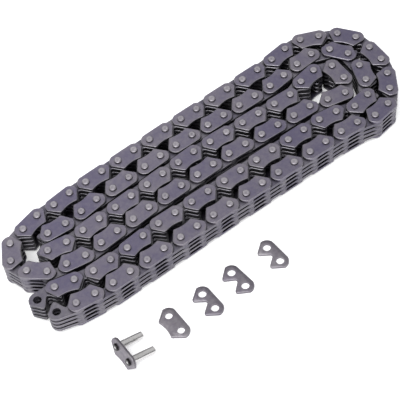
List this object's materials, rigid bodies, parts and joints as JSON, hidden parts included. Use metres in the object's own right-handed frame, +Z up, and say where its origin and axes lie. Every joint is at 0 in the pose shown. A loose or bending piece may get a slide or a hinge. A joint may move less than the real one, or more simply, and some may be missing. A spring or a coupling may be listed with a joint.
{
  "type": "silent drive chain",
  "caption": "Silent inverted-tooth drive chain, open and coiled flat: toothed plates stacked on riveted pins between guide plates, with swinging end links and a loose riveted connecting link.",
  "frame": {"origin": "on the floor under the middle of the coiled chain and its loose connecting link", "axes": "+X along the rows from the two open ends to the bends, +Y from the loose pieces to the back row, +Z up along the pins"},
  "size_m": [0.145, 0.0664, 0.01],
  "materials": {
    "guide_steel": "stamped spring steel, tumbled to a satin blue-grey",
    "tooth_steel": "stamped hardened steel, tumbled, lightly oiled",
    "pin_steel": "ground pin steel with riveted ends",
    "loose_plate_steel": "stamped spring steel, tumbled satin grey",
    "loose_pin_steel": "ground bright pin steel"
  },
  "bodies": {
    "coil": {"front_row_upper_guides": "guide_steel", "front_row_lower_guides": "guide_steel", "front_row_pins": "pin_steel", "front_row_pin_link_plates": "tooth_steel", "front_row_inner_link_plates": "tooth_steel", "outer_bend_upper_guides": "guide_steel", "outer_bend_lower_guides": "guide_steel", "outer_bend_pins": "pin_steel", "outer_bend_pin_link_plates": "tooth_steel", "outer_bend_inner_link_plates": "tooth_steel", "back_row_upper_guides": "guide_steel", "back_row_lower_guides": "guide_steel", "back_row_pins": "pin_steel", "back_row_pin_link_plates": "tooth_steel", "back_row_inner_link_plates": "tooth_steel", "fourth_row_upper_guides": "guide_steel", "fourth_row_lower_guides": "guide_steel", "fourth_row_pins": "pin_steel", "fourth_row_pin_link_plates": "tooth_steel", "fourth_row_inner_link_plates": "tooth_steel", "third_row_upper_guides": "guide_steel", "third_row_lower_guides": "guide_steel", "third_row_pins": "pin_steel", "third_row_pin_link_plates": "tooth_steel", "third_row_inner_link_plates": "tooth_steel", "second_row_upper_guides": "guide_steel", "second_row_lower_guides": "guide_steel", "second_row_pins": "pin_steel", "second_row_pin_link_plates": "tooth_steel", "second_row_inner_link_plates": "tooth_steel", "fifth_row_upper_guides": "guide_steel", "fifth_row_lower_guides": "guide_steel", "fifth_row_pins": "pin_steel", "fifth_row_pin_link_plates": "tooth_steel", "fifth_row_inner_link_plates": "tooth_steel"},
    "first_end_link_0": {"first_end_link_0_plates": "tooth_steel"},
    "first_end_link_1": {"first_end_link_1_guides": "guide_steel", "first_end_link_1_plates": "tooth_steel", "first_end_link_1_pins": "pin_steel"},
    "first_end_link_2": {"first_end_link_2_plates": "tooth_steel"},
    "first_end_link_3": {"first_end_link_3_guides": "guide_steel", "first_end_link_3_plates": "tooth_steel", "first_end_link_3_pins": "pin_steel"},
    "first_end_link_4": {"first_end_link_4_plates": "tooth_steel"},
    "first_end_link_5": {"first_end_link_5_guides": "guide_steel", "first_end_link_5_plates": "tooth_steel", "first_end_link_5_pins": "pin_steel"},
    "first_end_link_6": {"first_end_link_6_plates": "tooth_steel"},
    "last_end_link_128": {"last_end_link_128_plates": "tooth_steel"},
    "last_end_link_129": {"last_end_link_129_guides": "guide_steel", "last_end_link_129_plates": "tooth_steel", "last_end_link_129_pins": "pin_steel"},
    "last_end_link_130": {"last_end_link_130_plates": "tooth_steel"},
    "connecting_link": {"connecting_pin_plate": "loose_plate_steel", "connecting_pin_left": "loose_pin_steel", "connecting_pin_right": "loose_pin_steel"},
    "loose_guide_plate": {"loose_guide_plate": "loose_plate_steel"},
    "loose_toothed_plate_1": {"loose_toothed_plate_1": "loose_plate_steel"},
    "loose_toothed_plate_2": {"loose_toothed_plate_2": "loose_plate_steel"},
    "loose_toothed_plate_3": {"loose_toothed_plate_3": "loose_plate_steel"}
  },
  "joints": [
    {"name": "first_end_pin_7", "type": "hinge", "parent": "coil", "child": "first_end_link_6", "pos_m": [-0.02326, -0.00825, 0.00499], "axis": [0, 0, 1], "range_deg": [0, 12]},
    {"name": "first_end_pin_6", "type": "hinge", "parent": "first_end_link_6", "child": "first_end_link_5", "pos_m": [-0.02961, -0.0083, 0.00499], "axis": [0, 0, 1], "range_deg": [0, 15]},
    {"name": "first_end_pin_5", "type": "hinge", "parent": "first_end_link_5", "child": "first_end_link_4", "pos_m": [-0.03596, -0.00836, 0.00499], "axis": [0, 0, 1], "range_deg": [0, 20]},
    {"name": "first_end_pin_4", "type": "hinge", "parent": "first_end_link_4", "child": "first_end_link_3", "pos_m": [-0.04231, -0.00841, 0.00499], "axis": [0, 0, 1], "range_deg": [0, 25]},
    {"name": "first_end_pin_3", "type": "hinge", "parent": "first_end_link_3", "child": "first_end_link_2", "pos_m": [-0.04866, -0.00847, 0.00499], "axis": [0, 0, 1], "range_deg": [-1, 40]},
    {"name": "first_end_pin_2", "type": "hinge", "parent": "first_end_link_2", "child": "first_end_link_1", "pos_m": [-0.05499, -0.00802, 0.00499], "axis": [0, 0, 1], "range_deg": [-2, 60]},
    {"name": "first_end_pin_1", "type": "hinge", "parent": "first_end_link_1", "child": "first_end_link_0", "pos_m": [-0.0613, -0.00725, 0.00499], "axis": [0, 0, 1], "range_deg": [-5, 110]},
    {"name": "last_end_pin_128", "type": "hinge", "parent": "coil", "child": "last_end_link_128", "pos_m": [-0.05095, -0.00121, 0.00499], "axis": [0, 0, 1], "range_deg": [-1, 4]},
    {"name": "last_end_pin_129", "type": "hinge", "parent": "last_end_link_128", "child": "last_end_link_129", "pos_m": [-0.05718, 0, 0.00499], "axis": [0, 0, 1], "range_deg": [-3, 5]},
    {"name": "last_end_pin_130", "type": "hinge", "parent": "last_end_link_129", "child": "last_end_link_130", "pos_m": [-0.06334, 0.00154, 0.00499], "axis": [0, 0, 1], "range_deg": [-18, 6]},
    {"name": "lift_connecting_link", "type": "slide", "parent": "coil", "child": "connecting_link", "axis": [0, 0, 1], "range_m": [0, 0.03]},
    {"name": "lift_loose_guide_plate", "type": "slide", "parent": "coil", "child": "loose_guide_plate", "axis": [0, 0, 1], "range_m": [0, 0.03]},
    {"name": "lift_loose_toothed_plate_1", "type": "slide", "parent": "coil", "child": "loose_toothed_plate_1", "axis": [0, 0, 1], "range_m": [0, 0.03]},
    {"name": "lift_loose_toothed_plate_2", "type": "slide", "parent": "coil", "child": "loose_toothed_plate_2", "axis": [0, 0, 1], "range_m": [0, 0.03]},
    {"name": "lift_loose_toothed_plate_3", "type": "slide", "parent": "coil", "child": "loose_toothed_plate_3", "axis": [0, 0, 1], "range_m": [0, 0.03]}
  ]
}
